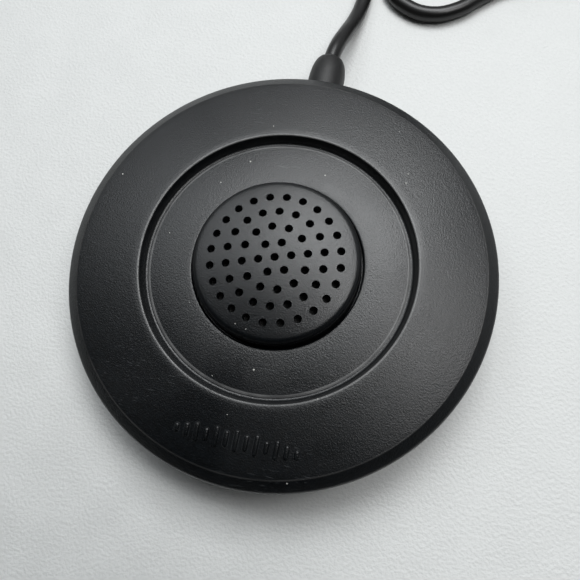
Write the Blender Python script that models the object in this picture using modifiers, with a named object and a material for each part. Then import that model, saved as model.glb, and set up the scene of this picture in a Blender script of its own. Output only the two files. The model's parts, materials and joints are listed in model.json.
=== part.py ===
"""Tabletop puck microphone with a short lead, built as it comes apart on a bench.

Millimetres are used throughout and turned into metres by MM. The origin is the centre of the
rubber foot where it meets the table, +Z is up and +Y points at the lead's boot.
"""

import math

import bmesh
import bpy
from mathutils import Matrix, Vector

MM = 0.001

# Driving dimensions, in millimetres.
BODY_RADIUS = 36.0
TOTAL_HEIGHT = 16.0
GAP = 0.3
CORD_DIAMETER = 3.0
CORD_HEIGHT = 6.3

CAP_RADIUS = 13.8
CAP_WALL = 1.4
CAP_DOME = 0.00614
CAP_LEDGE_TOP = 10.55
GRILLE_PITCH = 2.645
GRILLE_RINGS = 4
GRILLE_HOLE_RADIUS = 0.62
GRILLE_TURN = 17.5

OPENING_RADIUS = CAP_RADIUS + GAP
PLATEAU_TOP = 12.45
PLATEAU_CROWN = 0.0086
RING_INNER = 23.3
RING_TOP = 13.64
RING_EDGE = 33.9
COVER_BOTTOM = 2.6

BASE_BOTTOM = 0.9
BASE_FLOOR = 2.4
BASE_RIM = 35.0
FOOT_INNER = 29.4
FOOT_OUTER = 32.6

LONG_BOSS_CIRCLE = 26.2
FRAME_SCREW_CIRCLE = 18.2
LONG_BOSS_ANGLES = (30.0, 150.0, 270.0)
FRAME_SCREW_ANGLES = (0.0, 120.0, 240.0)
BALLAST_INNER = 13.0
BALLAST_OUTER = 22.6
PEG_CIRCLE = 16.8
PEG_ANGLES = (30.0, 150.0, 270.0)
BOARD_RADIUS = 11.6
BOARD_BOTTOM = 3.6
BOARD_TOP = 4.6
BOARD_SCREW_CIRCLE = 9.6
CLAMP_Y = 27.0
CLAMP_SCREW_X = 4.2

BOOT_BASE_Y = 36.3
BOOT_TIP_Y = 43.5
BOOT_BASE_RADIUS = 3.4

# The coiled part of the lead: two layers of six turns, on the table.
COIL_CENTRE = (32.0, 98.5)
COIL_INNER = 6.5
COIL_OUTER = 24.5
COIL_LAYERS = 2
COIL_TOP = COIL_LAYERS * CORD_DIAMETER
CLEAR_OF_TABLE = 0.02
LEAD_HEIGHT = CORD_DIAMETER / 2 + CLEAR_OF_TABLE
TIE_ANGLE = 20.0
TIE_THICKNESS = 0.8
TIE_WIDTH = 6.0
TIE_REACH = 28.4
PLUG_X = COIL_CENTRE[0] - 12.8
PLUG_START_Y = COIL_CENTRE[1] - 10.0
PLUG_AXIS_HEIGHT = COIL_TOP + GAP + 3.5

# The lead where it isn't coiled: out of the boot, down to the table, then one loose turn
# round the coil that bulges towards the microphone before it joins the coil.
OVER_TIE = LEAD_HEIGHT + TIE_THICKNESS + GAP
LEAD_ROUTE = (
    (0.0, BOOT_TIP_Y + GAP, CORD_HEIGHT),
    (0.4, 47.0, 6.1),
    (1.2, 51.0, 4.8),
    (2.0, 55.0, 3.1),
    (2.7, 59.2, 2.0),
    (3.0, 63.5, 1.62),
    (2.6, 69.0, LEAD_HEIGHT),
    (2.0, 77.0, LEAD_HEIGHT),
    (1.7, 87.5, LEAD_HEIGHT),
    (2.0, 98.5, LEAD_HEIGHT),
    (4.6, 109.2, LEAD_HEIGHT),
    (10.4, 118.0, LEAD_HEIGHT),
    (18.9, 123.6, LEAD_HEIGHT),
    (28.5, 125.5, LEAD_HEIGHT),
    (38.4, 124.4, LEAD_HEIGHT),
    (47.4, 120.1, 1.62),
    (53.1, 114.5, 2.2),
    (56.1, 109.4, OVER_TIE),
    (57.7, 104.8, OVER_TIE),
    (58.4, 100.2, 2.2),
    (58.4, 95.0, 1.62),
    (55.7, 86.5, LEAD_HEIGHT),
    (50.4, 79.6, LEAD_HEIGHT),
    (43.5, 74.8, LEAD_HEIGHT),
    (36.5, 72.3, LEAD_HEIGHT),
    (30.8, 70.2, LEAD_HEIGHT),
    (26.2, 66.6, LEAD_HEIGHT),
    (22.0, 62.9, LEAD_HEIGHT),
    (17.0, 61.0, LEAD_HEIGHT),
    (12.0, 62.0, LEAD_HEIGHT),
    (8.1, 65.4, LEAD_HEIGHT),
    (6.0, 71.4, LEAD_HEIGHT),
    (5.5, 80.0, LEAD_HEIGHT),
    (5.3, 89.0, LEAD_HEIGHT),
    (5.6, 96.0, LEAD_HEIGHT),
)

# The far end of the lead: off the top layer and across it to the plug.
TAIL_ROUTE = (
    (COIL_CENTRE[0] + 7.0, COIL_CENTRE[1] - 21.6, COIL_TOP + GAP + 1.5),
    (COIL_CENTRE[0] + 1.0, COIL_CENTRE[1] - 22.9, COIL_TOP + GAP + 1.5),
    (COIL_CENTRE[0] - 5.0, COIL_CENTRE[1] - 22.1, COIL_TOP + GAP + 1.5),
    (COIL_CENTRE[0] - 9.8, COIL_CENTRE[1] - 19.0, COIL_TOP + GAP + 1.7),
    (COIL_CENTRE[0] - 12.4, COIL_CENTRE[1] - 14.6, COIL_TOP + GAP + 2.7),
    (PLUG_X, PLUG_START_Y - 0.3, PLUG_AXIS_HEIGHT),
)


def clear_scene():
    for obj in list(bpy.data.objects):
        bpy.data.objects.remove(obj, do_unlink=True)


def new_collection(name):
    collection = bpy.data.collections.new(name)
    bpy.context.scene.collection.children.link(collection)
    return collection


clear_scene()
PARTS = new_collection("puck_microphone")
CUTTERS = new_collection("cutters")
CUTTERS.hide_render = True


# Materials: colour, roughness and metallic value of each finish.
FINISHES = {
    "black_shell": ((0.016, 0.016, 0.017, 1.0), 0.48, 0.0),
    "black_inner_plastic": ((0.03, 0.03, 0.032, 1.0), 0.55, 0.0),
    "black_rubber": ((0.02, 0.02, 0.02, 1.0), 0.75, 0.0),
    "black_cloth": ((0.012, 0.012, 0.013, 1.0), 0.95, 0.0),
    "grey_rubber": ((0.09, 0.09, 0.09, 1.0), 0.8, 0.0),
    "bright_aluminium": ((0.75, 0.76, 0.78, 1.0), 0.3, 1.0),
    "zinc_steel": ((0.55, 0.56, 0.58, 1.0), 0.35, 1.0),
    "nickel_plate": ((0.78, 0.76, 0.72, 1.0), 0.2, 1.0),
    "board_green": ((0.02, 0.15, 0.06, 1.0), 0.4, 0.0),
    "chip_dark": ((0.05, 0.05, 0.06, 1.0), 0.4, 0.0),
    "cord_jacket": ((0.018, 0.018, 0.018, 1.0), 0.5, 0.0),
    "wire_red": ((0.5, 0.03, 0.03, 1.0), 0.45, 0.0),
    "wire_white": ((0.7, 0.7, 0.68, 1.0), 0.45, 0.0),
}


def finish(name):
    """The Principled material of this finish, made the first time it is asked for."""
    material = bpy.data.materials.get(name)
    if material:
        return material
    colour, roughness, metallic = FINISHES[name]
    material = bpy.data.materials.new(name)
    material.use_nodes = True
    shader = material.node_tree.nodes["Principled BSDF"]
    shader.inputs["Base Color"].default_value = colour
    shader.inputs["Roughness"].default_value = roughness
    shader.inputs["Metallic"].default_value = metallic
    material.diffuse_color = colour
    return material


# Helpers that turn outlines and routes into objects.


def link_part(name, mesh, finish_name, smooth_angle=35.0):
    obj = bpy.data.objects.new(name, mesh)
    mesh.materials.clear()
    mesh.materials.append(finish(finish_name))
    PARTS.objects.link(obj)
    if mesh.polygons:
        mesh.shade_smooth()
        mesh.set_sharp_from_angle(angle=math.radians(smooth_angle))
    return obj


def profile_mesh(name, outline, closed):
    """A wire of (radius, height) points in the XZ plane."""
    points = [(r * MM, 0.0, z * MM) for r, z in outline]
    edges = [(i, i + 1) for i in range(len(points) - 1)]
    if closed:
        edges.append((len(points) - 1, 0))
    mesh = bpy.data.meshes.new(name)
    mesh.from_pydata(points, edges, [])
    return mesh


def add_screw(obj, steps):
    screw = obj.modifiers.new("turn", "SCREW")
    screw.axis = "Z"
    screw.angle = 2 * math.pi
    screw.steps = steps
    screw.render_steps = steps
    screw.use_merge_vertices = True
    screw.merge_threshold = 0.00001
    screw.use_smooth_shade = True


def turned(name, outline, finish_name, steps=32, closed=False):
    """A solid turned about Z from its outline, which runs down its outer side."""
    obj = link_part(name, profile_mesh(name, outline, closed), finish_name)
    add_screw(obj, steps)
    return obj


def turned_mesh(outline, steps, closed=False):
    """The finished mesh of a turned shape, for copies and for shapes on other axes."""
    source = bpy.data.objects.new("turning", profile_mesh("turning", outline, closed))
    CUTTERS.objects.link(source)
    add_screw(source, steps)
    bpy.context.view_layer.update()
    evaluated = source.evaluated_get(bpy.context.evaluated_depsgraph_get())
    mesh = bpy.data.meshes.new_from_object(evaluated)
    bpy.data.objects.remove(source, do_unlink=True)
    return mesh


def copies_mesh(name, mesh, matrices):
    """One mesh that holds a copy of the given mesh at each matrix."""
    joined = bmesh.new()
    for matrix in matrices:
        copy = mesh.copy()
        copy.transform(matrix)
        joined.from_mesh(copy)
        bpy.data.meshes.remove(copy)
    result = bpy.data.meshes.new(name)
    joined.to_mesh(result)
    joined.free()
    return result


def cylinder_outline(radius, bottom, top):
    return [(0.0, top), (radius, top), (radius, bottom), (0.0, bottom)]


def around(circle, angles, height=0.0):
    """A place on a circle about Z for each angle in degrees."""
    places = []
    for angle in angles:
        turn = math.radians(angle)
        offset = Vector((circle * math.cos(turn), circle * math.sin(turn), height)) * MM
        places.append(Matrix.Translation(offset))
    return places


def at(x, y, z=0.0):
    return Matrix.Translation(Vector((x, y, z)) * MM)


def cylinders(name, radius, bottom, top, places, sides=16, turn=4.0):
    """Separate cylinders, each turned a little so that its edges miss its neighbours' edges."""
    mesh = turned_mesh(cylinder_outline(radius, bottom, top), sides)
    mesh.transform(Matrix.Rotation(math.radians(turn), 4, "Z"))
    return copies_mesh(name, mesh, places)


def boxes(name, low_high_pairs):
    """One mesh of separate boxes, each given by its lowest and highest corner."""
    joined = bmesh.new()
    for low, high in low_high_pairs:
        low, high = Vector(low) * MM, Vector(high) * MM
        size = Matrix.Diagonal((*(high - low), 1.0))
        bmesh.ops.create_cube(joined, size=1.0, matrix=Matrix.Translation((low + high) / 2) @ size)
    mesh = bpy.data.meshes.new(name)
    joined.to_mesh(mesh)
    joined.free()
    return mesh


def boolean(obj, tool_mesh, operation):
    """Cuts the tool's mesh from the object, or joins it on."""
    tool = bpy.data.objects.new(f"{obj.name}_{operation.lower()}", tool_mesh)
    tool.display_type = "WIRE"
    tool.hide_render = True
    CUTTERS.objects.link(tool)
    modifier = obj.modifiers.new(operation.lower(), "BOOLEAN")
    modifier.operation = operation
    modifier.solver = "EXACT"
    modifier.object = tool


def smooth_route(points, spacing):
    """Points at an even spacing on a smooth curve through the route's points."""
    knots = [Vector(p) for p in points]
    knots = [2 * knots[0] - knots[1], *knots, 2 * knots[-1] - knots[-2]]
    dense = []
    for i in range(1, len(knots) - 2):
        before, start, end, after = knots[i - 1 : i + 3]
        for step in range(24):
            t = step / 24
            dense.append(
                0.5
                * (
                    2 * start
                    + (end - before) * t
                    + (2 * before - 5 * start + 4 * end - after) * t**2
                    + (3 * start - before - 3 * end + after) * t**3
                )
            )
    dense.append(knots[-2])
    length = sum((b - a).length for a, b in zip(dense, dense[1:]))
    count = max(3, round(length / spacing))
    even = [dense[0]]
    walked = 0.0
    for a, b in zip(dense, dense[1:]):
        walked += (b - a).length
        while len(even) < count and walked >= len(even) * length / count:
            over = walked - len(even) * length / count
            even.append(b.lerp(a, over / (b - a).length if b != a else 0.0))
    even.append(dense[-1])
    return even


def tube(name, route, radius, finish_name, spacing):
    """A round cord or wire along a smooth route."""
    curve = bpy.data.curves.new(name, "CURVE")
    curve.dimensions = "3D"
    curve.bevel_depth = radius * MM
    curve.bevel_resolution = 2
    curve.use_fill_caps = True
    points = smooth_route(route, spacing)
    spline = curve.splines.new("POLY")
    spline.points.add(len(points) - 1)
    for point, place in zip(spline.points, points):
        place.z = max(place.z, radius + CLEAR_OF_TABLE)
        point.co = (*(place * MM), 1.0)
    curve.materials.append(finish(finish_name))
    obj = bpy.data.objects.new(name, curve)
    PARTS.objects.link(obj)
    return obj


def outline_plate(name, loops, half_thickness, finish_name):
    """A flat plate extruded from closed 2D outlines; an inner outline is a hole."""
    curve = bpy.data.curves.new(name, "CURVE")
    curve.dimensions = "2D"
    curve.fill_mode = "BOTH"
    curve.extrude = half_thickness * MM
    for loop in loops:
        spline = curve.splines.new("POLY")
        spline.points.add(len(loop) - 1)
        spline.use_cyclic_u = True
        for point, (x, y) in zip(spline.points, loop):
            point.co = (x * MM, y * MM, 0.0, 1.0)
    curve.materials.append(finish(finish_name))
    obj = bpy.data.objects.new(name, curve)
    PARTS.objects.link(obj)
    return obj


def arc(centre_r, centre_z, radius, start, end, count):
    """Points of a round corner in an outline, by angles in degrees from +r towards +z."""
    points = []
    for i in range(count):
        angle = math.radians(start + (end - start) * i / (count - 1))
        points.append((centre_r + radius * math.cos(angle), centre_z + radius * math.sin(angle)))
    return points


def plateau_height(r):
    return PLATEAU_TOP - PLATEAU_CROWN * (r - OPENING_RADIUS) ** 2


def ring_height(r):
    """The outer ring's top face: a gentle slope that steepens a little outwards."""
    run = r - RING_INNER
    return RING_TOP - 0.115 * run - 0.0024 * run**2


def dome_height(r):
    return TOTAL_HEIGHT - CAP_DOME * r**2


# The casing.


def make_top_cover():
    top = arc(OPENING_RADIUS + 0.4, PLATEAU_TOP - 0.4, 0.4, 180, 90, 3)
    top += [(r, plateau_height(r)) for r in (17.5, 21.0)]
    top += [(21.4, 11.65), (22.4, 11.55), (22.7, 11.8), (22.75, 13.2)]
    top += [(r, ring_height(r)) for r in (RING_INNER, 28.5, RING_EDGE)]
    top += [(34.2, 11.98), (35.4, 11.2), (BODY_RADIUS, 10.4), (BODY_RADIUS, 9.8)]
    side = [(35.6, 5.5), (35.2, COVER_BOTTOM)]
    inside = [(33.8, COVER_BOTTOM), (33.9, 9.4), (32.8, 10.6), (24.1, 11.9)]
    inside += [(23.5, 10.0), (20.8, 10.0), (20.2, 10.6), (OPENING_RADIUS, 10.85)]
    cover = turned("top_cover", top + side + inside, "black_shell", steps=48, closed=True)

    long_bosses = cylinders("long_bosses", 2.6, 3.7, 12.2, around(LONG_BOSS_CIRCLE, LONG_BOSS_ANGLES))
    boolean(cover, long_bosses, "UNION")
    short_bosses = cylinders(
        "short_bosses", 2.0, 9.55, 11.2, around(FRAME_SCREW_CIRCLE, FRAME_SCREW_ANGLES)
    )
    boolean(cover, short_bosses, "UNION")
    long_holes = cylinders(
        "long_holes", 1.5, 3.0, 9.5, around(LONG_BOSS_CIRCLE, LONG_BOSS_ANGLES), turn=9.0
    )
    boolean(cover, long_holes, "DIFFERENCE")
    short_holes = cylinders(
        "short_holes", 1.3, 9.0, 11.3, around(FRAME_SCREW_CIRCLE, FRAME_SCREW_ANGLES), turn=9.0
    )
    boolean(cover, short_holes, "DIFFERENCE")
    boolean(cover, make_neck_slot(), "DIFFERENCE")


def make_neck_slot():
    """The slot in the cover's wall for the boot's neck, open at the bottom."""
    half_width = 2.8
    outline = [(-half_width, 1.0)]
    outline += arc(0.0, CORD_HEIGHT, half_width, 180, 0, 9)
    outline += [(half_width, 1.0)]
    slot = bmesh.new()
    corners = [slot.verts.new((x * MM, 32.8 * MM, z * MM)) for x, z in outline]
    face = slot.faces.new(corners)
    extruded = bmesh.ops.extrude_face_region(slot, geom=[face])["geom"]
    moved = [v for v in extruded if isinstance(v, bmesh.types.BMVert)]
    bmesh.ops.translate(slot, verts=moved, vec=(0.0, 4.0 * MM, 0.0))
    bmesh.ops.recalc_face_normals(slot, faces=slot.faces)
    mesh = bpy.data.meshes.new("neck_slot")
    slot.to_mesh(mesh)
    slot.free()
    return mesh


def make_base_plate():
    outline = [(0.0, BASE_FLOOR), (32.4, BASE_FLOOR), (32.4, 4.4), (33.4, 4.4), (33.4, 2.3)]
    outline += [(BASE_RIM, 2.3), (BASE_RIM, 1.9), (34.5, 1.2), (33.7, BASE_BOTTOM)]
    outline += [(FOOT_OUTER + GAP, BASE_BOTTOM), (FOOT_OUTER + GAP, 1.5)]
    outline += [(FOOT_INNER - GAP, 1.5), (FOOT_INNER - GAP, BASE_BOTTOM), (0.0, BASE_BOTTOM)]
    base = turned("base_plate", outline, "black_inner_plastic", steps=48)

    raised = cylinders("screw_seats", 3.0, 1.8, 3.4, around(LONG_BOSS_CIRCLE, LONG_BOSS_ANGLES))
    boolean(base, raised, "UNION")
    pegs = cylinders("pegs", 1.2, 2.0, 5.6, around(PEG_CIRCLE, PEG_ANGLES), 12)
    boolean(base, pegs, "UNION")
    posts = cylinders("posts", 1.7, 2.0, 3.3, around(BOARD_SCREW_CIRCLE, (0.0, 180.0)))
    boolean(base, posts, "UNION")
    blocks = boxes(
        "saddle",
        [
            ((-6.0, CLAMP_Y - 1.5, 2.0), (6.0, CLAMP_Y + 1.5, CORD_HEIGHT - 1.8)),
            ((-2.5, 33.0, 2.0), (2.5, 34.8, 3.7)),
        ],
    )
    boolean(base, blocks, "UNION")
    notch = boxes("lip_notch", [((-2.9, 31.5, 3.5), (2.9, 36.0, 6.0))])
    boolean(base, notch, "DIFFERENCE")
    stepped = [(0.0, 4.0), (1.5, 4.0), (1.5, 2.2), (2.5, 2.2), (2.5, 0.5), (0.0, 0.5)]
    turn = Matrix.Rotation(math.radians(7.0), 4, "Z")
    places = [place @ turn for place in around(LONG_BOSS_CIRCLE, LONG_BOSS_ANGLES)]
    boolean(base, copies_mesh("screw_holes", turned_mesh(stepped, 16), places), "DIFFERENCE")
    small = around(BOARD_SCREW_CIRCLE, (0.0, 180.0))
    small += [at(CLAMP_SCREW_X, CLAMP_Y), at(-CLAMP_SCREW_X, CLAMP_Y)]
    boolean(base, cylinders("small_holes", 1.1, 1.9, 5.0, small, 12), "DIFFERENCE")


def make_foot_ring():
    outline = [(FOOT_INNER + 0.3, 1.2), (FOOT_OUTER - 0.3, 1.2), (FOOT_OUTER, 0.9)]
    outline += [(FOOT_OUTER, 0.3), (FOOT_OUTER - 0.3, 0.0), (FOOT_INNER + 0.3, 0.0)]
    outline += [(FOOT_INNER, 0.3), (FOOT_INNER, 0.9)]
    turned("foot_ring", outline, "black_rubber", steps=48, closed=True)


def make_ballast_plate():
    outline = [(BALLAST_INNER, 5.2), (BALLAST_OUTER, 5.2), (BALLAST_OUTER, 2.7), (BALLAST_INNER, 2.7)]
    plate = turned("ballast_plate", outline, "zinc_steel", closed=True)
    peg_holes = cylinders("peg_holes", 1.5, 2.0, 6.0, around(PEG_CIRCLE, PEG_ANGLES), 12)
    boolean(plate, peg_holes, "DIFFERENCE")


# The grille cap and what is under it.


def grille_places():
    """One place for the middle hole and six more for each ring, in straight rows."""
    places = [(0.0, 0.0)]
    for ring in range(1, GRILLE_RINGS + 1):
        count = 6 * ring
        for i in range(count):
            angle = math.radians(GRILLE_TURN + 360.0 * i / count)
            places.append((ring * GRILLE_PITCH * math.cos(angle), ring * GRILLE_PITCH * math.sin(angle)))
    return places


def make_grille_cap():
    outline = [(r, dome_height(r)) for r in (0.0, 6.0, 12.4)]
    outline += [(13.4, 14.65), (CAP_RADIUS, 13.9), (CAP_RADIUS, CAP_LEDGE_TOP)]
    outline += [(15.6, CAP_LEDGE_TOP), (15.6, CAP_LEDGE_TOP - 1.0)]
    inner = CAP_RADIUS - CAP_WALL
    outline += [(inner, CAP_LEDGE_TOP - 1.0), (inner, 13.3), (inner - 0.5, 13.7)]
    outline += [(r, dome_height(r) - CAP_WALL) for r in (11.0, 6.0, 0.0)]
    cap = turned("grille_cap", outline, "black_shell", steps=40)
    places = [at(x, y) for x, y in grille_places()]
    boolean(cap, cylinders("grille_holes", GRILLE_HOLE_RADIUS, 12.0, 17.0, places, 8), "DIFFERENCE")


def make_cap_lining():
    turned("dust_cloth", cylinder_outline(12.1, 12.9, 13.3), "black_cloth")
    ring = [(10.0, 12.6), (12.1, 12.6), (12.1, 11.6), (10.0, 11.6)]
    turned("cloth_ring", ring, "grey_rubber", closed=True)


def make_capsule():
    can = [(1.0, 11.5), (4.6, 11.5), (4.85, 11.25), (4.85, 7.0), (4.5, 7.0)]
    can += [(4.5, 11.15), (1.0, 11.15)]
    turned("capsule_can", can, "bright_aluminium", closed=True)
    turned("capsule_felt", cylinder_outline(4.2, 11.8, 12.2), "black_cloth", steps=24)
    turned("capsule_terminal_board", cylinder_outline(4.2, 7.2, 8.0), "board_green", steps=24)
    pin = turned_mesh(cylinder_outline(0.35, 4.9, 6.9), 10)
    place_copies("capsule_lead", pin, [at(-1.27, 0.0), at(1.27, 0.0)], "nickel_plate")


def make_capsule_holder():
    outline = [(5.15, 11.2), (7.1, 11.2), (7.6, 10.7), (7.6, 10.5), (9.6, 10.5), (9.6, 9.55)]
    outline += [(7.6, 9.55), (7.6, 6.1), (4.4, 6.1), (4.4, 6.7), (5.15, 6.7)]
    turned("capsule_holder", outline, "grey_rubber", closed=True)


def make_capsule_frame():
    outline = [(7.9, 9.25), (20.4, 9.25), (20.4, 7.75), (7.9, 7.75)]
    frame = turned("capsule_frame", outline, "black_inner_plastic", closed=True)
    holes = cylinders("frame_holes", 1.3, 7.0, 10.0, around(FRAME_SCREW_CIRCLE, FRAME_SCREW_ANGLES), 12)
    boolean(frame, holes, "DIFFERENCE")


# Screws: each one is its own object, and the same screws share one mesh.


def place_copies(name, mesh, matrices, finish_name):
    """One object for each place, numbered from 1."""
    for number, matrix in enumerate(matrices, start=1):
        link_part(f"{name}_{number}", mesh, finish_name).matrix_world = matrix


def screw_mesh(head_radius, head_height, shank_radius, shank_length, steps=12):
    """A pan-head screw along +Z with its head's flat underside at z = 0."""
    outline = [
        (0.0, shank_length),
        (shank_radius, shank_length - shank_radius),
        (shank_radius, 0.0),
        (head_radius, 0.0),
        (head_radius, -head_height * 0.5),
        (head_radius * 0.7, -head_height),
        (head_radius * 0.35, -head_height),
        (0.0, -head_height * 0.4),
    ]
    return turned_mesh(outline, steps)


def make_screws():
    over = Matrix.Rotation(math.pi, 4, "X")
    base = around(LONG_BOSS_CIRCLE, LONG_BOSS_ANGLES, 1.9)
    place_copies("base_screw", screw_mesh(2.2, 0.9, 1.15, 7.0), base, "zinc_steel")
    frame = around(FRAME_SCREW_CIRCLE, FRAME_SCREW_ANGLES, 7.45)
    place_copies("frame_screw", screw_mesh(1.8, 0.9, 0.95, 3.5), frame, "zinc_steel")
    board = [place @ over for place in around(BOARD_SCREW_CIRCLE, (0.0, 180.0), BOARD_TOP + GAP)]
    place_copies("board_screw", screw_mesh(1.6, 0.8, 0.75, 2.4), board, "zinc_steel")
    clamp = [at(side * CLAMP_SCREW_X, CLAMP_Y, 9.6) @ over for side in (-1, 1)]
    place_copies("clamp_screw", screw_mesh(1.6, 0.8, 0.75, 6.6), clamp, "zinc_steel")


# The circuit board and its parts.


def make_circuit_board():
    outline = cylinder_outline(BOARD_RADIUS, BOARD_BOTTOM, BOARD_TOP)
    board = turned("circuit_board", outline, "board_green")
    holes = cylinders("board_holes", 1.1, 3.0, 5.0, around(BOARD_SCREW_CIRCLE, (0.0, 180.0)), 12)
    boolean(board, holes, "DIFFERENCE")


def make_board_parts():
    low = BOARD_TOP + GAP
    can = [(0.0, low + 2.4), (1.35, low + 2.4), (1.6, low + 2.15), (1.6, low), (0.0, low)]
    cans = [at(-6.6, -6.6), at(6.6, -6.6)]
    place_copies("filter_capacitor", turned_mesh(can, 20), cans, "bright_aluminium")
    chip = boxes("chip", [((-0.8, -0.4, low), (0.8, 0.4, low + 0.55))])
    place_copies("chip_part", chip, [at(-2.6, -8.6), at(0.0, -8.6), at(2.6, -8.6)], "chip_dark")
    ring = [(0.5, 1.2), (1.1, 1.2), (1.1, -1.2), (0.5, -1.2)]
    bead = link_part("ferrite_bead", turned_mesh(ring, 20, closed=True), "chip_dark")
    bead.matrix_world = at(7.8, 5.4, low + 1.1) @ Matrix.Rotation(math.pi / 2, 4, "Y")


def make_inner_wiring():
    stub = ((0.0, 29.7, CORD_HEIGHT), (0.0, 26.5, CORD_HEIGHT), (0.0, 23.4, CORD_HEIGHT))
    tube("cord_inner_end", stub, CORD_DIAMETER / 2, "cord_jacket", 4.0)
    for name, side, finish_name in (("signal_wire", 1, "wire_red"), ("ground_wire", -1, "wire_white")):
        route = (
            (side * 0.7, 23.1, 6.5),
            (side * 1.1, 18.5, 6.7),
            (side * 2.0, 14.0, 6.3),
            (side * 2.6, 11.0, 5.5),
            (side * 2.6, 9.2, 5.35),
        )
        tube(name, route, 0.4, finish_name, 2.0)


def make_cord_clamp():
    bridge = boxes("cord_clamp", [((-6.0, CLAMP_Y - 1.5, 4.8), (6.0, CLAMP_Y + 1.5, 9.3))])
    clamp = link_part("cord_clamp", bridge, "black_inner_plastic")
    half_width = CORD_DIAMETER / 2 + 0.35
    channel = boxes("channel", [((-half_width, CLAMP_Y - 3.0, 3.0), (half_width, CLAMP_Y + 3.0, 8.1))])
    boolean(clamp, channel, "DIFFERENCE")
    places = [at(CLAMP_SCREW_X, CLAMP_Y), at(-CLAMP_SCREW_X, CLAMP_Y)]
    boolean(clamp, cylinders("clamp_holes", 1.1, 4.0, 10.0, places, 12), "DIFFERENCE")


# The lead: boot, cord, coil, tie and plug.


def along_y(mesh, x, z):
    """Lays a shape turned about Z along +Y, at this x and height."""
    mesh.transform(at(x, 0.0, z) @ Matrix.Rotation(-math.pi / 2, 4, "X"))
    return mesh


def make_cord_boot():
    tip = CORD_DIAMETER / 2 + 0.2
    outline = [(0.0, BOOT_TIP_Y), (tip, BOOT_TIP_Y)]
    for i in range(1, 6):
        turn = math.radians(90.0 * i / 5)
        outline.append(
            (
                tip + (BOOT_BASE_RADIUS - tip) * math.sin(turn),
                BOOT_TIP_Y - 4.6 * (1 - math.cos(turn)),
            )
        )
    outline += [(BOOT_BASE_RADIUS, BOOT_BASE_Y), (2.5, BOOT_BASE_Y), (2.5, 31.6)]
    outline += [(3.3, 31.6), (3.3, 30.0), (0.0, 30.0)]
    mesh = along_y(turned_mesh(outline, 20), 0.0, CORD_HEIGHT)
    link_part("cord_boot", mesh, "black_rubber")


def make_cord_coil():
    """The closed shape that the coiled turns fill, with a channel for the tie under it."""
    x, y = COIL_CENTRE
    outline = [(COIL_INNER + 0.8, COIL_TOP), (COIL_OUTER - 0.8, COIL_TOP), (COIL_OUTER, COIL_TOP - 0.8)]
    outline += [(COIL_OUTER, 0.8), (COIL_OUTER - 0.8, CLEAR_OF_TABLE), (COIL_INNER + 0.8, CLEAR_OF_TABLE)]
    outline += [(COIL_INNER, 0.8), (COIL_INNER, COIL_TOP - 0.8)]
    ring = turned("cord_coil", outline, "cord_jacket", steps=40, closed=True)
    ring.location = (x * MM, y * MM, 0.0)
    half = TIE_WIDTH / 2 + GAP
    channel = boxes("tie_channel", [((0.0, -half, -1.0), (40.0, half, TIE_THICKNESS + GAP))])
    channel.transform(at(x, y) @ Matrix.Rotation(math.radians(TIE_ANGLE), 4, "Z"))
    boolean(ring, channel, "DIFFERENCE")


def rounded_rectangle(low, high, radius):
    """A closed outline with round corners, four points to a corner."""
    points = []
    corners = [(high[0], high[1], 0), (low[0], high[1], 90)]
    corners += [(low[0], low[1], 180), (high[0], low[1], 270)]
    for x, y, start in corners:
        centre_x = x - math.copysign(radius, x - (low[0] + high[0]) / 2)
        centre_y = y - math.copysign(radius, y - (low[1] + high[1]) / 2)
        points += arc(centre_x, centre_y, radius, start, start + 90, 4)
    return points


def make_cord_tie():
    """A strap round the coil and the loose turn, standing on edge across them."""
    chord = math.sqrt(COIL_INNER**2 - (TIE_WIDTH / 2) ** 2)
    inner_low = (chord - GAP, TIE_THICKNESS)
    inner_high = (TIE_REACH, COIL_TOP + 1.2)
    outer_low = (inner_low[0] - TIE_THICKNESS, 0.0)
    outer_high = (inner_high[0] + TIE_THICKNESS, inner_high[1] + TIE_THICKNESS)
    loops = [rounded_rectangle(outer_low, outer_high, 1.4), rounded_rectangle(inner_low, inner_high, 0.6)]
    strap = outline_plate("cord_tie", loops, TIE_WIDTH / 2, "grey_rubber")
    stand_up = Matrix.Rotation(math.radians(TIE_ANGLE), 4, "Z") @ Matrix.Rotation(math.pi / 2, 4, "X")
    strap.matrix_world = at(*COIL_CENTRE) @ stand_up


def make_plug():
    """A three-contact plug lying on the coil, its tip pointing along +Y."""
    start = PLUG_START_Y
    relief = [(0.0, start + 7.0), (2.6, start + 7.0), (1.8, start + 1.0), (1.7, start), (0.0, start)]
    body = [(0.0, start + 22.3), (2.9, start + 22.3), (3.5, start + 21.3), (3.5, start + 8.6)]
    body += [(3.0, start + 7.3), (0.0, start + 7.3)]
    sleeve = cylinder_outline(1.75, start + 22.6, start + 28.0)
    rear_insulator = cylinder_outline(1.6, start + 28.3, start + 29.0)
    ring = cylinder_outline(1.75, start + 29.3, start + 31.3)
    front_insulator = cylinder_outline(1.6, start + 31.6, start + 32.3)
    tip = [(0.0, start + 36.6), (0.6, start + 36.4), (1.55, start + 34.9), (1.75, start + 34.3)]
    tip += [(1.3, start + 33.6), (1.6, start + 32.6), (0.0, start + 32.6)]
    pieces = (
        ("plug_relief", relief, "black_rubber"),
        ("plug_body", body, "black_shell"),
        ("plug_sleeve", sleeve, "nickel_plate"),
        ("plug_insulator_1", rear_insulator, "black_inner_plastic"),
        ("plug_ring", ring, "nickel_plate"),
        ("plug_insulator_2", front_insulator, "black_inner_plastic"),
        ("plug_tip", tip, "nickel_plate"),
    )
    for name, outline, finish_name in pieces:
        link_part(name, along_y(turned_mesh(outline, 16), PLUG_X, PLUG_AXIS_HEIGHT), finish_name)


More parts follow.
